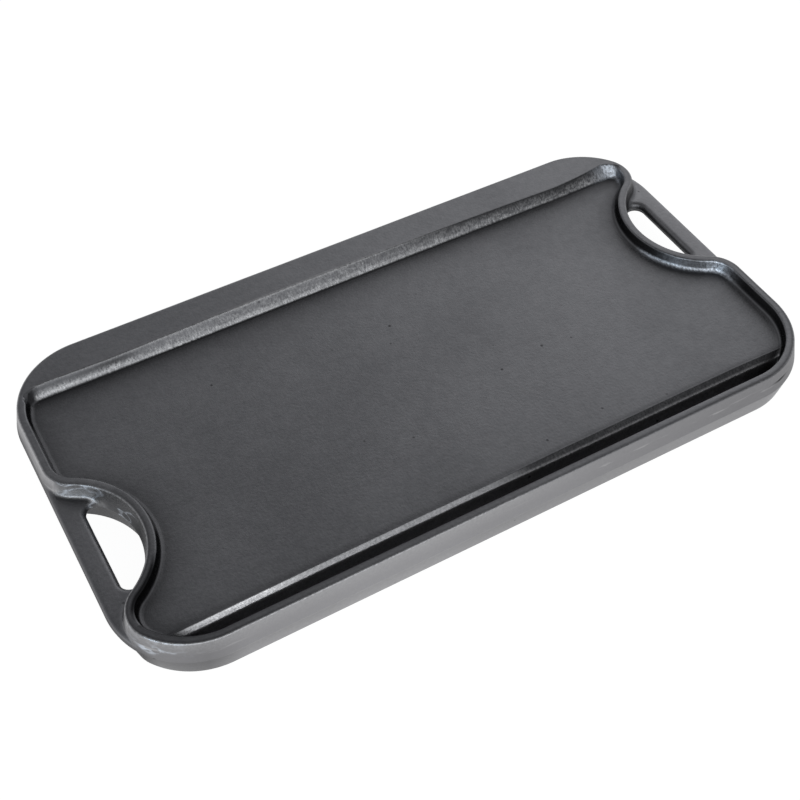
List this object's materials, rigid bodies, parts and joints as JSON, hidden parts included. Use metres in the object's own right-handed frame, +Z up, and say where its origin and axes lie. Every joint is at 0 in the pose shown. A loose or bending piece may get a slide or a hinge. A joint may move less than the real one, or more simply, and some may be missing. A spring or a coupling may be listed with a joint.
{
  "type": "camp griddle plate",
  "caption": "Reversible cast-iron griddle plate with a raised rim, smooth cooking floor, rear ledge, front grease trough, ribbed grill underside and a hand-hold in each end.",
  "frame": {"origin": "middle of the plate's outline, on the plane the lower rim stands on", "axes": "+X along the length, towards the end whose hand-hold is at the rear; -Y is the trough side; +Z up out of the smooth cooking side"},
  "size_m": [0.508, 0.268, 0.0325],
  "materials": {
    "rim_iron": "satin, seasoned, sand-cast grain",
    "seasoned_iron": "satin, seasoned, sand-cast grain"
  },
  "bodies": {
    "root": {"cooking_floor": "seasoned_iron", "grill_ribs": "seasoned_iron", "trough_wall": "rim_iron", "trough_bottom": "seasoned_iron", "rear_step": "rim_iron", "rear_ledge": "rim_iron", "front_rim": "rim_iron", "rear_rim": "rim_iron", "left_rear_corner": "rim_iron", "left_hold_rim": "rim_iron", "left_front_corner": "rim_iron", "left_handle": "rim_iron", "right_front_corner": "rim_iron", "right_hold_rim": "rim_iron", "right_rear_corner": "rim_iron", "right_handle": "rim_iron"}
  },
  "joints": []
}
